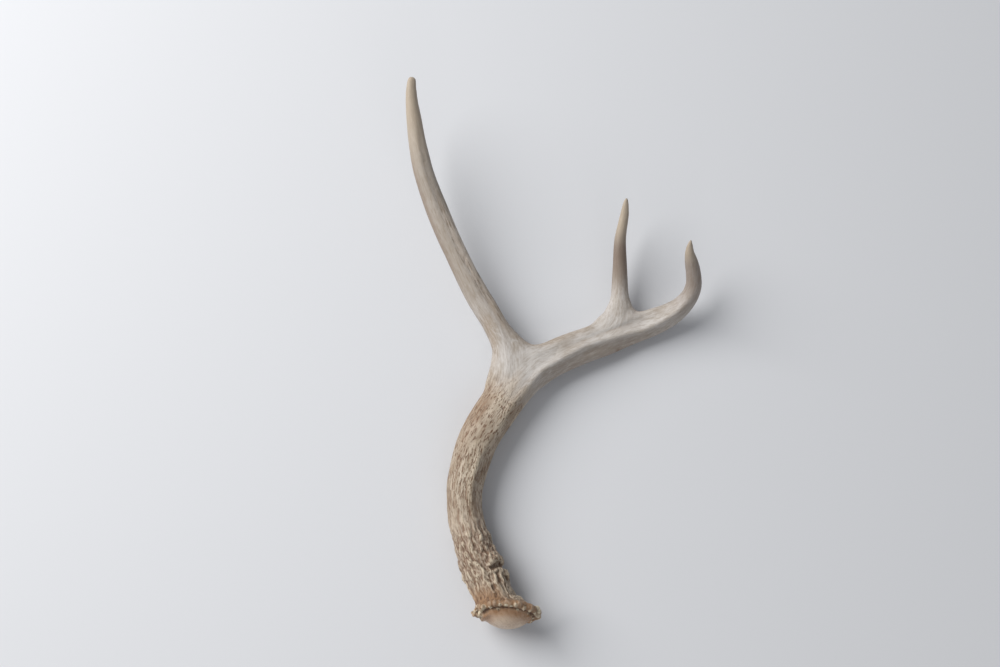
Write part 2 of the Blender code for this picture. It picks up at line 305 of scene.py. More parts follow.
class Limb:
    """A centreline with a tangent, an upward and a sideways direction at each sample."""

    def __init__(self, stations, start_at=0.0):
        stations = np.array(stations, float)
        along = self.lengths(stations[:, :3])
        fine = np.arange(0, along[-1], LINE_STEP)
        line = np.column_stack([np.interp(fine, along, column) for column in stations[:, :3].T])
        for _ in range(LINE_PASSES):
            line[1:-1] = (line[:-2] + 2 * line[1:-1] + line[2:]) / 4
        self.line = line
        self.radius = np.interp(fine, along, stations[:, 3])
        self.s = self.lengths(line) + start_at
        tangent = np.gradient(line, axis=0)
        self.tangent = tangent / np.linalg.norm(tangent, axis=1)[:, None]
        up = np.array([0, 0, 1.0]) - self.tangent * self.tangent[:, 2:]
        self.up = up / np.linalg.norm(up, axis=1)[:, None]
        self.side = np.cross(self.tangent, self.up)

    @staticmethod
    def lengths(points):
        return np.append(0, np.cumsum(np.linalg.norm(np.diff(points, axis=0), axis=1)))

    def s_near(self, point):
        return self.s[np.linalg.norm(self.line - np.array(point), axis=1).argmin()]

    def at(self, s, a, b):
        """The place at s along the line, a above it and b to its right."""
        n = int(np.clip(np.searchsorted(self.s, s), 0, len(self.s) - 1))
        return self.line[n] + a * self.up[n] + b * self.side[n]

    def place(self, points):
        """(s, a, b) of each point, its share of the limb's length, and its reach in half-widths."""
        squared = (self.line ** 2).sum(1) - 2 * points @ self.line.T
        n = squared.argmin(1)
        offset = points - self.line[n]
        along = np.einsum("ij,ij->i", offset, self.tangent[n])
        a = np.einsum("ij,ij->i", offset, self.up[n])
        b = np.einsum("ij,ij->i", offset, self.side[n])
        reach = np.linalg.norm(offset, axis=1) / self.radius[n]
        s = self.s[n] + along
        share = (s - self.s[0]) / (self.s[-1] - self.s[0])
        return np.column_stack([s, a, b]), share, reach


BEAM = Limb(BEAM_LINE)
LONG_TINE = Limb(LONG_TINE_LINE, BEAM.s_near(LONG_TINE_LINE[0][:3]))
SHORT_TINE = Limb(SHORT_TINE_LINE, BEAM.s_near(SHORT_TINE_LINE[0][:3]))


FORK_SHARPNESS = 6  # how quickly one limb takes over from the next at a fork


class Chart:
    """Where each point of a skin lies along and around its limb. The limbs blend at the forks."""

    def __init__(self, points):
        places, shares, reaches = zip(*[limb.place(points) for limb in (BEAM, LONG_TINE, SHORT_TINE)])
        reaches = np.array(reaches)
        weights = np.exp(-FORK_SHARPNESS * (reaches - reaches.min(0)))
        weights /= weights.sum(0)
        self.on_beam, self.on_long, self.on_short = weights
        self.on_tine = 1 - self.on_beam
        self.beam_flow = places[0]
        self.tine_flow = np.where((reaches[1] < reaches[2])[:, None], places[1], places[2])
        self.s, self.a, self.b = sum(w[:, None] * place for w, place in zip(weights, places)).T
        self.share = sum(weight * share for weight, share in zip(weights, shares))
        self.points = points

    def field(self, pattern):
        """A pattern of (s, a, b) laid along the beam and along the tines, blended at the forks."""
        total = np.zeros(len(self.points))
        for flow, weight in ((self.beam_flow, self.on_beam), (self.tine_flow, self.on_tine)):
            some = weight > 0.01
            total[some] += weight[some] * pattern(flow[some])
        return total


# --- spurs, knobs and the burr's beads ---------------------------------------------------------

BURR_CENTRE = np.array((-37.5, -202.2, 24.9))
BURR_AXIS = unit((-0.05, -0.966, 0.255))
BURR_SIDE = unit(np.cross(BURR_AXIS, (0, 0, 1)))
BURR_LIFT = np.cross(BURR_SIDE, BURR_AXIS)
BURR_RADIUS = 24
SEAL_RADIUS = 19.0
RIM_START = 45  # a ray that looks for the rim sets out this far from the burr's axis
BEAD_LEVEL = 2.0  # how far outwards along the axis the beads sit
BEADS_START = -180  # every bead lies beyond this y
CURL_TURN = 0.3  # the angle of the hollow in the burr's left curl
FOOT_RADIUS = 14.5
MISSED_REACH = 14  # stands in for the skin's distance where a ray misses it

# Raised cords on the beam's foot. Each is a row of (s, degrees from the top towards the right,
# height above the skin, half-thickness).
CORDS = (
    ((44, 12, -0.8, 1.0), (47.5, 26, 0.4, 1.6), (50.5, 44, 1.5, 2.0), (51.5, 62, 2.0, 2.2),
     (50, 76, 1.8, 2.1), (46.5, 84, 0.6, 1.5)),
    ((51, 34, -0.4, 2.0), (54.5, 52, 0.7, 2.6), (55, 72, 0.7, 2.6)),
    ((56, 44, -0.9, 2.4), (59, 62, -0.5, 2.8), (59, 76, -0.8, 2.4)),
    ((43, 0, 0.1, 1.5), (41, 20, -0.1, 1.2), (41, 42, 0.2, 1.3), (40, 60, 0.8, 1.6),
     (37, 78, 1.4, 2.3), (32, 92, 0.4, 1.4)),
    ((45, 2, 0.4, 1.7), (39, -4, 0.5, 1.3), (33, -2, 0.3, 1.1), (26, 4, 0, 1.0)),
    ((45, 2, 0.4, 1.4), (51, -14, 0.5, 1.3), (57, -26, 0.4, 1.1), (64, -32, -0.2, 0.9)),
    ((46, 20, 0.2, 1.2), (39, 30, 0.5, 1.2), (32, 24, 0.4, 1.1), (25, 32, 0, 1.0)),
    ((42, 58, 0.4, 1.2), (35, 46, 0.4, 1.2), (28, 54, 0.2, 1.0)),
    ((60, -96, 0.4, 1.3), (56, -86, 1.2, 1.9), (52, -84, 0.8, 1.3), (48, -88, 1.4, 2.0),
     (44, -84, 0.2, 1.2)),
    ((42, -80, 0.4, 1.2), (39, -84, 1.2, 1.8), (34, -72, 0.3, 1.3), (27, -66, 0, 1.1)),
    ((76, 66, -0.2, 1.2), (72, 76, 1.0, 1.9), (67, 84, 0.2, 1.3)),
    ((60, 40, -0.3, 1.1), (66, 30, 0.3, 1.2), (73, 34, 0, 1.0), (80, 28, -0.4, 0.9)),
    ((48, -52, 0.2, 1.2), (41, -44, 0.4, 1.2), (33, -50, 0.3, 1.2), (25, -42, 0, 1.0)),
    ((62, 150, 0, 1.2), (55, 160, 1.0, 1.8), (48, 150, 0.6, 1.5), (41, 158, 0, 1.2)),
    ((50, -130, 0, 1.2), (44, -140, 1.0, 1.8), (37, -128, 0.4, 1.4), (29, -134, 0, 1.1)),
    ((40, 128, 0.2, 1.3), (34, 120, 0.8, 1.6), (27, 126, 0.2, 1.2)),
)
CORD_WIDTH = 1.3  # the factor on each half-thickness
CORD_LIFT = 0.8  # the factor on each height
CORD_BLOBS = 14  # from one place in a row to the next
CORD_SINK = 0.42  # how deep a cord's middle lies, as a share of its half-thickness
# Hollows pressed into the skin: (s, degrees, half-length, half-width, depth).
HOLLOWS = (
    (45.6, 46, 2.0, 5.2, 2.1), (39.5, 40, 2.4, 2.4, 0.7), (30, 12, 2.6, 1.7, 1.5),
    (66, -38, 2.6, 1.6, 1.3), (36, 12, 3.5, 1.6, 1.0), (38, -20, 4.5, 2.0, 1.0),
    (30, -24, 4.5, 2.0, 0.9), (34, 38, 3.5, 1.8, 0.9), (55, -60, 3.0, 2.0, 1.0),
    (58, 20, 3.0, 1.8, 0.9), (60, 62, 3.0, 1.8, 0.9),
)


def round_blob(centre, axes):
    """An ellipsoid whose three half-axes are the rows of axes."""
    points, faces, rows, columns = [], [], 7, 12
    for row in range(rows + 1):
        polar = pi * row / rows
        for column in range(columns):
            turn = 2 * pi * column / columns
            point = np.array((sin(polar) * cos(turn), sin(polar) * sin(turn), cos(polar)))
            points.append(centre + point @ axes)
    for row in range(rows):
        for column in range(columns):
            here, beside = row * columns + column, row * columns + (column + 1) % columns
            faces.append((here, beside, beside + columns, here + columns))
    return points, faces


def cord(skin, stations):
    """A raised cord as a row of overlapping round blobs."""
    stations = np.array(stations, float)
    steps = np.linspace(0, len(stations) - 1, CORD_BLOBS * (len(stations) - 1) + 1)
    known = np.arange(len(stations))
    s, degrees, lift, thick = (np.interp(steps, known, column) for column in stations.T)
    thick = thick * CORD_WIDTH
    rise = CORD_LIFT * lift - CORD_SINK * thick
    places = [on_skin(skin, *values) for values in zip(s, degrees, rise)]
    return [round_blob(place, np.eye(3) * size) for place, size in zip(places, thick)]


def on_skin(skin, s, degrees, lift):
    """The place at s and at an angle round the beam, lift above the skin."""
    turn = radians(degrees)
    middle = BEAM.at(s, 0, 0)
    outwards = BEAM.at(s, cos(turn), sin(turn)) - middle
    hit = skin.ray_cast(Vector(middle), Vector(outwards), RAY)
    reach = hit[3] if hit[0] is not None else MISSED_REACH
    return middle + outwards * (reach + lift)


def rim_beads(skin):
    """Uneven beads round the burr: (middle, half-axes, how pale it is) of each."""
    rng = np.random.default_rng(7)
    beads, angle = [], 0.0
    while angle < 2 * pi:
        size = rng.choice((1.0, 1.2, 1.4, 1.7, 2.0))
        edge = rim_edge(skin, angle, BEAD_LEVEL + rng.uniform(-1.0, 1.2))
        if edge is not None:
            middle = edge[0] - edge[1] * rng.uniform(-0.7, 0.7)
            halves = rng.uniform(0.8, 1.3, 3) * size
            axes = np.array((edge[1], BURR_AXIS, BURR_LIFT)) * halves[:, None]
            beads.append((middle, axes, rng.choice((1.0, 0.9, 0.55))))
            if rng.random() < 0.3:
                behind = middle - edge[1] * rng.uniform(1, 2.5) - BURR_AXIS * rng.uniform(2, 4)
                beads.append((behind, np.eye(3) * rng.uniform(0.8, 1.2), 0.5))
        angle += (size * rng.uniform(2.1, 4.2)) / BURR_RADIUS
    return beads


def end_tangle(skin):
    """The knobbly ends of the burr, left and right."""
    rng = np.random.default_rng(12)
    beads = []
    for side, count in ((0.0, 17), (pi, 12)):
        for _ in range(count):
            edge = rim_edge(skin, side + rng.uniform(-0.42, 0.42), rng.uniform(-2.5, 4.5))
            if edge is not None:
                middle = edge[0] - edge[1] * rng.uniform(-0.5, 1.0)
                beads.append((middle, np.diag(rng.uniform(1.0, 2.3, 3)), rng.choice((0.9, 0.2))))
    return beads


def rim_edge(skin, angle, level):
    """The outermost place of the burr at an angle and a height along its axis, and the way out."""
    outwards = cos(angle) * BURR_SIDE + sin(angle) * BURR_LIFT
    start = BURR_CENTRE + BURR_AXIS * level + outwards * RIM_START
    hit = skin.ray_cast(Vector(start), Vector(-outwards), RAY)
    return None if hit[0] is None else (np.array(hit[0]), outwards)


def bead_colour(points, beads):
    """1 on the pale beads, and 0 away from them."""
    total = np.zeros(len(points))
    near = np.flatnonzero(points[:, 1] < BEADS_START)
    for middle, axes, pale in beads:
        size = np.linalg.norm(axes, axis=1).mean()
        away = np.linalg.norm(points[near] - middle, axis=1) / size
        total[near] = np.maximum(total[near], pale * (1 - smoothstep(0.85, 1.3, away)))
    return total


def burr_place(points):
    """Height outwards along the burr's axis, distance from the axis, and angle round it."""
    offset = points - BURR_CENTRE
    height = offset @ BURR_AXIS
    flat = offset - height[:, None] * BURR_AXIS
    return height, np.linalg.norm(flat, axis=1), np.arctan2(flat @ BURR_LIFT, flat @ BURR_SIDE)


def with_growths(mesh):
    """The body with its cords, beads and knobs grown into one skin."""
    points = points_of(mesh)
    faces = [tuple(face.vertices) for face in mesh.polygons]
    skin = BVHTree.FromPolygons(points.tolist(), faces)
    parts = [(points, faces)]
    for stations in CORDS:
        parts += cord(skin, stations)
    beads = rim_beads(skin) + end_tangle(skin)
    parts += [round_blob(middle, axes) for middle, axes, _ in beads]
    bpy.data.meshes.remove(mesh)
    grown = through(gather(parts, "grown"), "REMESH", mode="VOXEL", voxel_size=FINE * MM)
    web = Web(grown)
    set_points(grown, web.spread(web.even_out(points_of(grown), GROWN_PASSES), 1))
    return grown, beads


# --- sculpture ---------------------------------------------------------------------------------

BASE_ENDS = 100.0  # the coarse ridges fade out about here along the beam
SMOOTH_STARTS = 204.0  # the beam's grooved skin ends about here, and the smooth plate begins

# Lines along the skin, as places in the frame: the rims of the two forks along their crotches'
# upper edges, and the brown left edge beside the first fork.
FIRST_RIM = (
    (-49, 38, 26), (-40, 22, 23), (-33, 14, 21), (-23, 8.6, 20), (-11, 7.6, 20), (-1.5, 9.6, 18),
    (12.8, 14, 16), (28, 20, 15),
)
SECOND_RIM = (
    (59, 43, 16), (63.6, 36.3, 16), (68.3, 33.2, 16), (76.3, 33.2, 17), (87.4, 35.8, 19),
    (97, 40.5, 24),
)
LEFT_EDGE = ((-63, -40, 20), (-54, -15, 24), (-50, 5, 24), (-52, 25, 24))
# The pale plates beside the forks, each as a line and its reach.
PALE_PLATES = (
    (((-34, -14, 31), (-20, -12, 30), (-5, -2, 27)), 17),
    (((38, 17, 22), (52, 21, 22), (74, 29, 22)), 15),
)
SPECK = (52.5, 3.8)  # a small dark chip on the upper beam's lower face
SPECK_RADIUS = 2.6
SPECK_LOWEST = 9  # the chip is only on the upper side of the skin
TIP_BLUNTING = 0.7
FINE_PASSES = 8  # the skin evened out so often shows the fine relief
BROAD_PASSES = 60  # and so often the broad one
FINE_DEPTH = 0.25  # relief that counts as 1 in the material
BROAD_DEPTH = 1.0


def zones(chart):
    """Shares of each kind of skin: coarse base, grooved beam, smooth plate, and worn tips."""
    wander = 16 * chart.field(lambda flow: Noise(3).fractal(flow / (26, 12, 12), 3))
    coarse = chart.on_beam * (1 - smoothstep(BASE_ENDS - 38, BASE_ENDS + 16, chart.s + wander))
    smooth = smoothstep(SMOOTH_STARTS - 12, SMOOTH_STARTS + 12, chart.s + wander)
    worn = chart.on_beam * smoothstep(0.95, 0.985, chart.share)
    worn += chart.on_long * smoothstep(0.72, 0.95, chart.share)
    worn += chart.on_short * smoothstep(0.7, 0.86, chart.share)
    return {"coarse": coarse, "grooved": (1 - coarse) * (1 - smooth), "smooth": smooth, "worn": worn}


def braids(flow):
    """Coarse lengthwise ridges that split and join, with pearls and pits on them."""
    warp = np.column_stack([Noise(n).fractal(flow / (18, 9, 9), 2) for n in (11, 12, 13)])
    flow = flow + warp * (4, 3.2, 3.2)
    ridges = Noise(21).ridged(flow / (24, 8.0, 8.0), 3, 0.55)
    away, own = Noise(22).cells(flow / (7.5, 4.8, 4.8))
    pearls = np.where(own > 0.5, np.maximum(0, 1 - (away / 0.5) ** 2), 0)
    away, own = Noise(23).cells(flow / (8, 5, 5))
    pits = np.where(own > 0.8, np.maximum(0, 1 - (away / 0.45) ** 2), 0)
    grit = Noise(24).fractal(flow / (3.4, 2.1, 2.1), 2)
    return 1.9 * (ridges - 0.55) + 0.8 * pearls - 1.2 * pits + 0.5 * grit


def grooves(flow):
    """Fine lengthwise grooves, where blood vessels lay."""
    flow = flow + 1.2 * Noise(31).fractal(flow / (16, 8, 8), 2)[:, None] * (0, 1, 1)
    lines = smoothstep(0.66, 0.95, Noise(32).ridged(flow / (24, 2.6, 2.6), 2, 0.6))
    return 0.32 * Noise(33).fractal(flow / (30, 9, 9), 2) - 0.26 * lines


def veins(flow):
    return smoothstep(0.8, 0.97, Noise(42).ridged(flow / (30, 9, 9), 2, 0.5))


def swells(flow):
    return Noise(41).fractal(flow / (44, 16, 16), 2)


def skin_relief(chart, zone):
    """The height of the skin's own pattern, which is strongest at the base and gone at the tips."""
    height = zone["coarse"] * chart.field(braids)
    streaked = zone["grooved"] + 0.5 * chart.on_long * zone["smooth"]
    height += streaked * (1 - zone["worn"]) * chart.field(grooves)
    thin = 1 - 0.8 * zone["worn"]
    height += thin * (0.6 * chart.field(swells) - 0.2 * zone["smooth"] * chart.field(veins))
    return height


def hollows(chart):
    """The pits beside the cords."""
    total = np.zeros(len(chart.points))
    s, a, b = chart.beam_flow.T
    degrees = np.degrees(np.arctan2(b, a))
    for at, turn, half_length, half_width, depth in HOLLOWS:
        around = radians(1) * FOOT_RADIUS * ((degrees - turn + 180) % 360 - 180)
        away = ((s - at) / half_length) ** 2 + (around / half_width) ** 2
        total -= depth * np.exp(-1.2 * away ** 1.5)
    return total * chart.on_beam


def burr_skin(chart):
    """Masks of the smooth seal, the flange and the seal's edge, and the height of the ribs."""
    height, radius, angle = burr_place(chart.points)
    near = np.exp(-(height / 14) ** 4) * (chart.s < 60)
    seal_top = 1 - smoothstep(SEAL_RADIUS - 0.8, SEAL_RADIUS + 1.0, radius)
    seal = smoothstep(2.2, 3.4, height) * seal_top
    flange = near * smoothstep(15.5, 19, radius) * (1 - smoothstep(4.5, 6, height)) * (1 - seal)
    around = np.column_stack([np.cos(angle) * BURR_RADIUS, np.sin(angle) * BURR_RADIUS, height])
    ribs = Noise(51).ridged(around / (2.9, 2.9, 9), 2, 0.5) - 0.5
    rut = -0.9 * np.exp(-((radius - SEAL_RADIUS - 1.2) / 1.0) ** 2) * smoothstep(0, 3, height)
    seal_rim = smoothstep(8.5, SEAL_RADIUS, radius)
    across, outwards = (angle - CURL_TURN) * BURR_RADIUS / 2.6, (height - 1.2) / 1.7
    curl = -2.6 * np.exp(-(across ** 2 + outwards ** 2) ** 1.5)
    return seal, flange, seal_rim, (0.9 * flange * ribs + rut + curl) * near


def beam_below(chart):
    """The beam's share of the skin, kept up where the beam passes below the short tine."""
    return chart.on_beam + chart.on_short * smoothstep(-7, -3, chart.beam_flow[:, 2])


def crests(chart):
    """The long soft ridges that part the lit side of each limb from its shaded side."""
    return beam_crest(chart) + tine_crest(chart)


def beam_crest(chart):
    """A ridge with a hollow to its right, and one to its left past the first fork."""
    s, a, b = chart.beam_flow.T
    side = b - crest_side(s)
    broad = smoothstep(190, 240, s)
    ridge = 1.3 * hump(0, 4.5, side)
    ridge = ridge - (1.1 + 0.8 * broad) * hump(6 + broad, 5.5 + 1.5 * broad, side)
    left = 1.1 * hump(-6.5, 6, side) - 0.8 * hump(-13.5, 4, side)
    ridge -= smoothstep(225, 265, s) * left
    return beam_below(chart) ** 2 * span(85, 115, 345, 380, s) * smoothstep(0, 4, a) * ridge


def tine_crest(chart):
    """The edge between the long tine's pale band and its facet."""
    s, a, b = chart.tine_flow.T
    side = b - facet_edge(s)
    ridge = 0.4 * hump(0, 3, side) + 0.9 * hump(6.5, 5, side) - 0.3 * hump(-6, 4, side)
    return chart.on_long ** 2 * span(240, 275, 400, 440, s) * smoothstep(0, 3, a) * ridge


def crest_side(s):
    """How far right of the beam's middle its crest runs."""
    stations = (90, 140, 165, 200, 225, 243, 268, 285, 318, 340, 370)
    return np.interp(s, stations, (4.5, 5.2, 8.2, 8.2, 6.0, 4.0, 1.8, 2.2, 5.0, 2.8, 1.0))


def facet_edge(s):
    """How far right of the long tine's middle its pale band gives way to the streaky facet."""
    return np.interp(s, (255, 300, 330, 390, 420), (3.4, 1.8, 0.8, 0.2, 0.8))


def near_line(points, line, reach):
    """1 on a line through the given places, falling to 0 at reach from it."""
    line = np.array(line, float)
    steps = np.linspace(0, len(line) - 1, 12 * len(line))
    line = np.column_stack([np.interp(steps, np.arange(len(line)), column) for column in line.T])
    near = np.full(len(points), 1e6)
    for place in line:
        near = np.minimum(near, ((points - place) ** 2).sum(1))
    return 1 - smoothstep(0, reach, np.sqrt(near))


def limb_zones(chart, zone):
    """Adds the shares of each colour that follows a limb."""
    s, b = chart.s, chart.b
    # the hook's dark tan is partly its own brown-grey tone and partly painted shade where it turns
    # away from the light
    zone["hook"] = chart.on_beam * smoothstep(338, 385, s)
    zone["dusky"] = chart.on_short * hump(0.68, 0.28, chart.share)
    zone["tine_tan"] = chart.on_long * smoothstep(238, 300, s)
    zone["tine_tan"] += chart.on_short * smoothstep(325, 345, s)
    zone["stained"] = chart.on_beam * hump(180, 46, s) * (1 - smoothstep(-10, 0, b))
    # painted highlight: the upper middle of the lower beam is painted paler, as if lit across its flat
    # top; the pale foot is its own tone
    middle = hump(130, 42, s) * hump(1, 8, b) * (chart.a > 0)
    zone["pale_foot_and_lit_top"] = chart.on_beam * np.maximum(1 - smoothstep(40, 58, s), 0.9 * middle)
    zone["veined"] = zone["smooth"] * chart.field(veins) * hump(225, 50, s)


def side_zones(chart, zone):
    """Adds the streaky facet of the long tine, whose pale tan is partly painted light, and painted
    shade on the upper beam's lower face and along the long tine's left edge.
    """
    s, _, b = chart.tine_flow.T
    # painted light: the facet's pale tan lifts the shade on the long tine's right side; its brown
    # streaks are its own
    facet = smoothstep(-0.6, 1.6, b - facet_edge(s)) * span(225, 262, 335, 372, s)
    zone["facet"] = chart.on_long * facet
    # painted shade: a dark line along the long tine's left edge
    left_edge = 1.6 * chart.on_long * (smoothstep(4.6, 7.4, -b) * span(280, 320, 390, 425, s))
    s, _, b = chart.beam_flow.T
    # painted shade on the upper beam's lower face, below its crest
    under = smoothstep(0.5, 5, b - crest_side(s)) * span(205, 245, 310, 350, s)
    zone["under"] = np.maximum(beam_below(chart) * under, left_edge)


def fork_zones(points, zone):
    """Adds the brown crotches, the pale plates beside them, and the chip on the upper beam."""
    first, second = near_line(points, FIRST_RIM, 7.5), near_line(points, SECOND_RIM, 5)
    zone["crotch"] = np.maximum.reduce([first, 0.5 * second, near_line(points, LEFT_EDGE, 11)])
    zone["pale"] = np.maximum.reduce([near_line(points, *plate) for plate in PALE_PLATES])
    away = np.hypot(points[:, 0] - SPECK[0], 2 * (points[:, 1] - SPECK[1])) / SPECK_RADIUS
    zone["speck"] = smoothstep(1, 0, away) * (points[:, 2] > SPECK_LOWEST)


def blunted(chart, mesh, points):
    """The points with both tines' tips filled out, only to the right so that they stay in the box."""
    blunt = chart.on_long * smoothstep(0.93, 0.98, chart.share)
    blunt += chart.on_short * smoothstep(0.8, 0.95, chart.share)
    points[:, 0] += TIP_BLUNTING * blunt * np.maximum(normals_of(mesh)[:, 0], 0)
    return points


def sculpted(mesh):
    """Presses the skin's relief into the mesh. Returns its chart and its zones."""
    points, web = points_of(mesh), Web(mesh)
    chart = Chart(points)
    zone = zones(chart)
    zone["seal"], zone["flange"], zone["seal_rim"], ribs = burr_skin(chart)
    limb_zones(chart, zone)
    side_zones(chart, zone)
    fork_zones(points, zone)
    rolled = 0.7 * near_line(points, FIRST_RIM, 4.5) + 0.6 * near_line(points, SECOND_RIM, 3.5)
    height = (1 - 0.75 * zone["flange"]) * skin_relief(chart, zone)
    height = height + crests(chart) + hollows(chart) + ribs + rolled
    height *= 1 - zone["seal"]
    points = points + web.spread(height, 1)[:, None] * normals_of(mesh)
    points = blunted(chart, mesh, points)
    points[:, 2] = np.maximum(points[:, 2], 0.0)
    set_points(mesh, points)
    return chart, zone


def keep_float(mesh, name, values):
    mesh.attributes.new(name, "FLOAT", "POINT").data.foreach_set("value", values.astype(np.float32))


def keep_vector(mesh, name, values):
    layer = mesh.attributes.new(name, "FLOAT_VECTOR", "POINT")
    layer.data.foreach_set("vector", values.astype(np.float32).ravel())


def paint(mesh, chart, zone):
    """Stores what the material reads: relief, zones, and the direction of growth."""
    web, points = Web(mesh), points_of(mesh)
    normals = normals_of(mesh)
    scales = (("relief", FINE_PASSES, FINE_DEPTH), ("shape", BROAD_PASSES, BROAD_DEPTH))
    for name, passes, depth in scales:
        height = np.einsum("ij,ij->i", points - web.spread(points, passes), normals)
        keep_float(mesh, name, np.clip(height / depth, -1.5, 1.5))
    for name in zone:
        keep_float(mesh, name, zone[name])
    keep_float(mesh, "on_tine", chart.on_tine)
    keep_vector(mesh, "beam_flow", chart.beam_flow)
    keep_vector(mesh, "tine_flow", chart.tine_flow)


# --- material ----------------------------------------------------------------------------------

class Graph:
    """Shorthand for a material's nodes."""

    def __init__(self, material):
        self.tree = material.node_tree
        self.shader = next(node for node in self.tree.nodes if node.type == "BSDF_PRINCIPLED")

    def node(self, kind, inputs=(), **settings):
        node = self.tree.nodes.new(kind)
        for name, value in settings.items():
            setattr(node, name, value)
        for key, value in dict(inputs).items():
            self.feed(node.inputs[key], value)
        return node

    def feed(self, socket, value):
        if isinstance(value, bpy.types.NodeSocket):
            self.tree.links.new(value, socket)
        else:
            socket.default_value = value

    def attribute(self, name, output="Fac"):
        return self.node("ShaderNodeAttribute", attribute_name=name).outputs[output]

    def math(self, operation, *values):
        inputs = dict(enumerate(values))
        return self.node("ShaderNodeMath", inputs, operation=operation).outputs[0]

    def scaled(self, vector, size):
        inputs = {0: vector, 1: tuple(1 / part for part in size)}
        return self.node("ShaderNodeVectorMath", inputs, operation="MULTIPLY").outputs[0]

    def noise(self, size, detail=2.0, roughness=0.5, distortion=0.0):
        """Noise laid along the beam and along the tines, blended at the forks."""
        sides = []
        for name in ("beam_flow", "tine_flow"):
            vector = self.scaled(self.attribute(name, "Vector"), size)
            inputs = {"Vector": vector, "Scale": 1.0, "Detail": detail,
                      "Roughness": roughness, "Distortion": distortion}
            sides.append(self.node("ShaderNodeTexNoise", inputs).outputs[0])
        inputs = {0: self.attribute("on_tine"), 2: sides[0], 3: sides[1]}
        return self.node("ShaderNodeMix", inputs, data_type="FLOAT").outputs[0]

    def ramp(self, value, low, high, out_low=0.0, out_high=1.0):
        inputs = {"Value": value, "From Min": low, "From Max": high,
                  "To Min": out_low, "To Max": out_high}
        return self.node("ShaderNodeMapRange", inputs, interpolation_type="SMOOTHSTEP").outputs[0]

    def times(self, first, second):
        return self.math("MULTIPLY", first, second)

    def plus(self, first, second):
        return self.math("ADD", first, second)

    def minus(self, first, second):
        return self.math("SUBTRACT", first, second)

    def larger(self, first, second):
        return self.math("MAXIMUM", first, second)

    def coat(self, under, over, mask, strength):
        """One colour laid over another where the mask is, at the given strength."""
        return self.mix(self.times(mask, strength), under, over)

    def mix(self, share, first, second):
        node = self.node("ShaderNodeMix", data_type="RGBA", clamp_factor=True)
        self.feed(node.inputs["Factor"], share)
        self.feed(node.inputs[6], first)
        self.feed(node.inputs[7], second)
        return node.outputs[2]


CREAM = (0.56, 0.475, 0.38, 1)
TINE_TAN = (0.34, 0.29, 0.24, 1)
TAN = (0.34, 0.26, 0.19, 1)
GROOVE_BROWN = (0.13, 0.074, 0.046, 1)
ORANGE_BROWN = (0.24, 0.13, 0.07, 1)
PLATE_GREY = (0.53, 0.50, 0.48, 1)
PLATE_WARM = (0.45, 0.41, 0.37, 1)
IVORY = (0.44, 0.365, 0.28, 1)
DASH_BROWN = (0.18, 0.10, 0.058, 1)
BEAD_CREAM = (0.84, 0.76, 0.58, 1)
DUSKY_TAN = (0.205, 0.152, 0.122, 1)
PAINTED_SHADE_TAN = (0.27, 0.215, 0.175, 1)
FACET_LIT_TAN = (0.60, 0.515, 0.435, 1)
SEAL_TAN = (0.40, 0.225, 0.12, 1)
SEAL_PALE_AND_SHEEN = (0.76, 0.60, 0.46, 1)
FOOT_BROWN = (0.33, 0.235, 0.18, 1)
RIM_BROWN = (0.32, 0.185, 0.10, 1)
CREST_CREAM = (0.64, 0.55, 0.42, 1)
PLATE_STREAK = (0.27, 0.215, 0.165, 1)
PLATE_WHITE = (0.66, 0.64, 0.62, 1)


class Marks:
    """The noises and masks that the bone's colours share."""

    def __init__(self, g):
        relief, shape = g.attribute("relief"), g.attribute("shape")
        self.patches = g.noise((22, 8, 8), 4, 0.6)
        self.streaks = g.noise((13, 1.3, 1.3), 4, 0.62, 0.35)
        self.hairs = g.noise((7, 0.5, 0.5), 3, 0.6, 0.2)
        self.mottle = g.noise((5.5, 1.5, 1.5), 4, 0.68)
        self.textured = g.larger(g.attribute("coarse"), g.attribute("grooved"))
        dashes = g.ramp(g.noise((4.4, 0.86, 0.86), 2, 0.5, 0.6), 0.535, 0.59)
        self.dashes = g.times(dashes, self.textured)
        self.raised = g.ramp(g.plus(relief, g.times(shape, 1.2)), -0.1, 1.1)
        self.hollow = g.ramp(g.plus(relief, g.times(shape, 0.6)), -0.15, -1.0)
        self.knobs = g.ramp(g.plus(relief, shape), 0.3, 1.8)
        self.stained = g.attribute("stained")


def beam_colour(g, marks):
    """The coarse base and the grooved beam."""
    bone = g.mix(g.ramp(marks.patches, 0.36, 0.66), TAN, CREAM)
    bone = g.coat(bone, FOOT_BROWN, g.attribute("coarse"), 0.5)
    # a pale foot, and a painted highlight on the lower beam's upper middle
    bone = g.coat(bone, CREST_CREAM, g.attribute("pale_foot_and_lit_top"), 0.4)
    bone = g.coat(bone, ORANGE_BROWN, marks.stained, g.ramp(marks.patches, 0.4, 0.6, 0.25, 0.8))
    bone = g.coat(bone, ORANGE_BROWN, g.ramp(marks.streaks, 0.48, 0.64), 0.5)
    bone = g.coat(bone, CREST_CREAM, marks.raised, 0.7)
    bone = g.coat(bone, GROOVE_BROWN, marks.hollow, 0.6)
    return g.coat(bone, DASH_BROWN, marks.dashes, 0.85)


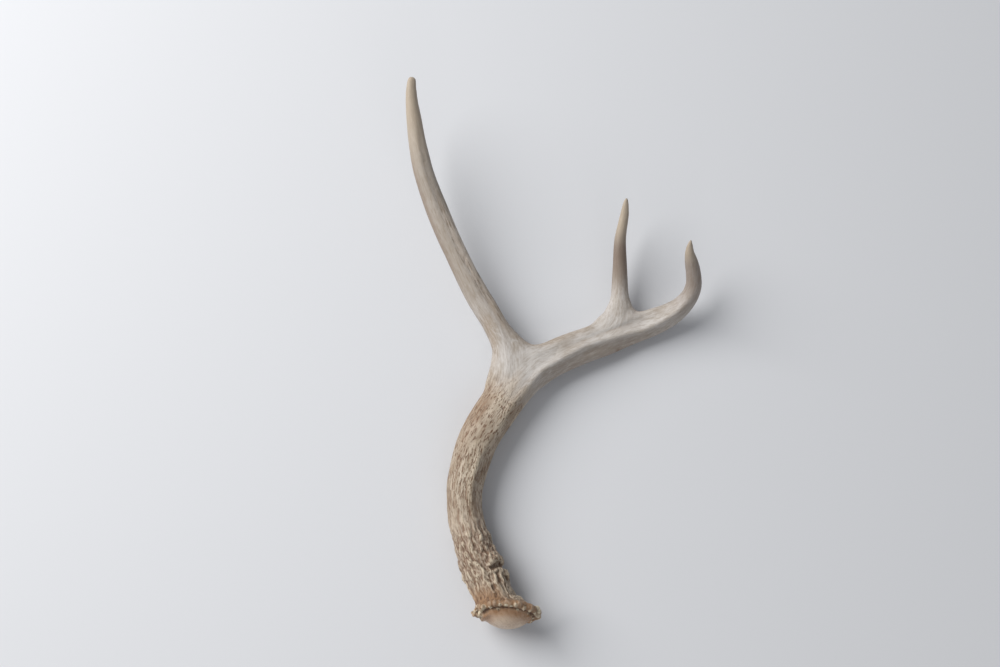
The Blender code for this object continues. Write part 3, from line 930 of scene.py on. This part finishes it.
def plate_colour(g, marks):
    """The smooth plates at the forks and the skin of the tines."""
    tine_tan, facet, crotch = (g.attribute(name) for name in ("tine_tan", "facet", "crotch"))
    plate = g.mix(g.ramp(marks.patches, 0.35, 0.65), PLATE_WARM, PLATE_GREY)
    # painted light: on the facet the tine tan gives way to a pale tan that lifts its shade
    plate = g.coat(plate, TINE_TAN, tine_tan, g.minus(0.7, g.times(facet, 0.7)))
    plate = g.coat(plate, FACET_LIT_TAN, facet, 0.8)
    plate = g.coat(plate, PLATE_WHITE, g.attribute("pale"), 0.6)
    # painted shade on the upper beam's lower face and along the long tine's left edge
    plate = g.coat(plate, PAINTED_SHADE_TAN, g.attribute("under"), 0.55)
    plate = g.coat(plate, TAN, crotch, 0.66)
    streaky = g.plus(0.34, g.times(g.larger(facet, crotch), 0.5))
    streaky = g.plus(streaky, g.times(tine_tan, 0.2))
    plate = g.coat(plate, PLATE_STREAK, g.ramp(marks.streaks, 0.46, 0.64), streaky)
    plate = g.coat(plate, PLATE_WHITE, g.attribute("veined"), 0.6)
    calm = g.times(tine_tan, g.minus(1.0, facet))
    lively = g.minus(1.0, g.times(calm, 0.65))
    plate = g.coat(plate, PLATE_STREAK, g.ramp(marks.mottle, 0.48, 0.66, 0.0, 0.3), lively)
    plate = g.coat(plate, PLATE_WHITE, g.ramp(marks.mottle, 0.52, 0.34, 0.0, 0.32), lively)
    # the hook's share is partly painted shade; the short tine's dusky middle is its own tone
    dusky = g.larger(g.times(g.attribute("hook"), 0.68), g.attribute("dusky"))
    plate = g.coat(plate, DUSKY_TAN, dusky, 0.92)
    return g.coat(plate, TAN, marks.hollow, 0.5)


def limb_colour(g, marks):
    """The beam's bone and the plates, with their stain, their chip and the worn tips."""
    bone = g.coat(beam_colour(g, marks), plate_colour(g, marks), g.attribute("smooth"), 0.93)
    rusty = g.ramp(marks.streaks, 0.38, 0.58, 0.2, 0.85)
    bone = g.coat(bone, ORANGE_BROWN, marks.stained, rusty)
    bone = g.coat(bone, DASH_BROWN, g.attribute("speck"), 0.9)
    ivory = g.mix(g.ramp(marks.hairs, 0.5, 0.8), IVORY, CREAM)
    return g.coat(bone, ivory, g.attribute("worn"), 0.85)


def burr_colour(g, marks, bone):
    """The bone with the burr's rim, its beads and the smooth seal laid over it."""
    rim = g.coat(RIM_BROWN, CREAM, marks.knobs, 0.34)
    rim = g.coat(rim, GROOVE_BROWN, marks.hollow, 0.85)
    rim = g.coat(rim, BEAD_CREAM, g.attribute("beads"), 0.92)
    bone = g.mix(g.larger(g.attribute("flange"), g.attribute("beads")), bone, rim)
    blotches = g.ramp(marks.patches, 0.35, 0.65, 0, 0.4)
    # the seal's pale middle is partly its own tone and partly painted sheen and bounce light; it turns
    # tan towards the rim
    seal = g.mix(g.minus(1.15, g.plus(g.attribute("seal_rim"), blotches)), SEAL_TAN, SEAL_PALE_AND_SHEEN)
    return g.mix(g.attribute("seal"), bone, seal)


def bone_material():
    material = bpy.data.materials.new("antler_bone")
    material.use_nodes = True
    g = Graph(material)
    marks = Marks(g)
    g.feed(g.shader.inputs["Base Color"], burr_colour(g, marks, limb_colour(g, marks)))
    rough = g.ramp(marks.streaks, 0.3, 0.7, 0.46, 0.66)
    rough = g.minus(rough, g.times(g.attribute("seal"), 0.24))
    g.feed(g.shader.inputs["Roughness"], rough)
    g.feed(g.shader.inputs["Specular IOR Level"], 0.4)
    fine = g.times(g.plus(marks.textured, 0.18), g.plus(marks.hairs, marks.streaks))
    fine = g.minus(fine, g.times(marks.dashes, 0.8))
    bump = g.node("ShaderNodeBump", {"Strength": 0.8, "Distance": 0.5 * MM, "Height": fine})
    g.feed(g.shader.inputs["Normal"], bump.outputs[0])
    return material


# --- the piece ---------------------------------------------------------------------------------

def antler():
    mesh = smooth_body()
    mesh, beads = with_growths(mesh)
    pale = bead_colour(points_of(mesh), beads)
    chart, zone = sculpted(mesh)
    zone["beads"] = pale
    paint(mesh, chart, zone)
    quads = len(mesh.polygons)
    mesh = through(mesh, "DECIMATE", ratio=TRIANGLES / (2 * quads))
    mesh.shade_smooth()
    mesh.materials.clear()
    mesh.materials.append(bone_material())
    piece = show(mesh, "antler")
    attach(piece, "root")
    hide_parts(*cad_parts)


# --- stage -------------------------------------------------------------------------------------

FLOOR_COLOUR = (0.72, 0.735, 0.77, 1)
FLOOR_SIDE = 4.0  # half the floor's width, in metres
LENS = 50
SENSOR = 36
CAMERA_ELEVATION = 76.0
CAMERA_DISTANCE = 1.11
CAMERA_TARGET = (0.319, 0.541, 0.205)  # shares of the CAD box
# Each light's name, place, size, watts and colour.
LIGHTS = (
    ("window", (-1.5, 0.75, 1.4), 1.9, 55, (1, 0.985, 0.96)),
    ("fill", (0.3, -1.6, 0.9), 1.2, 4.5, (1, 0.96, 0.92)),
)
SKY_COLOUR = (0.93, 0.96, 1, 1)
SKY_STRENGTH = 0.25


def plain_floor():
    mesh = bpy.data.meshes.new("floor")
    side = FLOOR_SIDE
    corners = [(-side, -side, 0), (side, -side, 0), (side, side, 0), (-side, side, 0)]
    mesh.from_pydata(corners, [], [(0, 1, 2, 3)])
    material = bpy.data.materials.new("floor_paint")
    material.use_nodes = True
    g = Graph(material)
    for name, value in (("Base Color", FLOOR_COLOUR), ("Roughness", 0.9), ("Specular IOR Level", 0.1)):
        g.feed(g.shader.inputs[name], value)
    mesh.materials.append(material)
    show(mesh, "floor")


def soft_light(aim, name, place, size, watts, colour):
    light = bpy.data.lights.new(name, "AREA")
    light.shape, light.size, light.energy, light.color = "DISK", size, watts, colour
    obj = bpy.data.objects.new(name, light)
    bpy.context.scene.collection.objects.link(obj)
    obj.location = place
    obj.rotation_euler = (aim - Vector(place)).to_track_quat("-Z", "Y").to_euler()


def camera(target):
    data = bpy.data.cameras.new("camera")
    data.lens, data.sensor_width = LENS, SENSOR
    obj = bpy.data.objects.new("camera", data)
    bpy.context.scene.collection.objects.link(obj)
    tilt = radians(CAMERA_ELEVATION)
    back = Vector((0, -cos(tilt), sin(tilt)))
    obj.location = target + back * CAMERA_DISTANCE
    obj.rotation_euler = (-back).to_track_quat("-Z", "Y").to_euler()
    bpy.context.scene.camera = obj


def stage():
    low, high = CAD_BOX
    target = Vector([a + share * (b - a) for a, b, share in zip(low, high, CAMERA_TARGET)])
    camera(target)
    plain_floor()
    middle = (low + high) / 2
    for light in LIGHTS:
        soft_light(middle, *light)
    world = bpy.data.worlds.new("room")
    world.use_nodes = True
    background = world.node_tree.nodes["Background"]
    background.inputs["Color"].default_value = SKY_COLOUR
    background.inputs["Strength"].default_value = SKY_STRENGTH
    bpy.context.scene.world = world
    bpy.context.scene.view_settings.view_transform = "Standard"


stage()
antler()
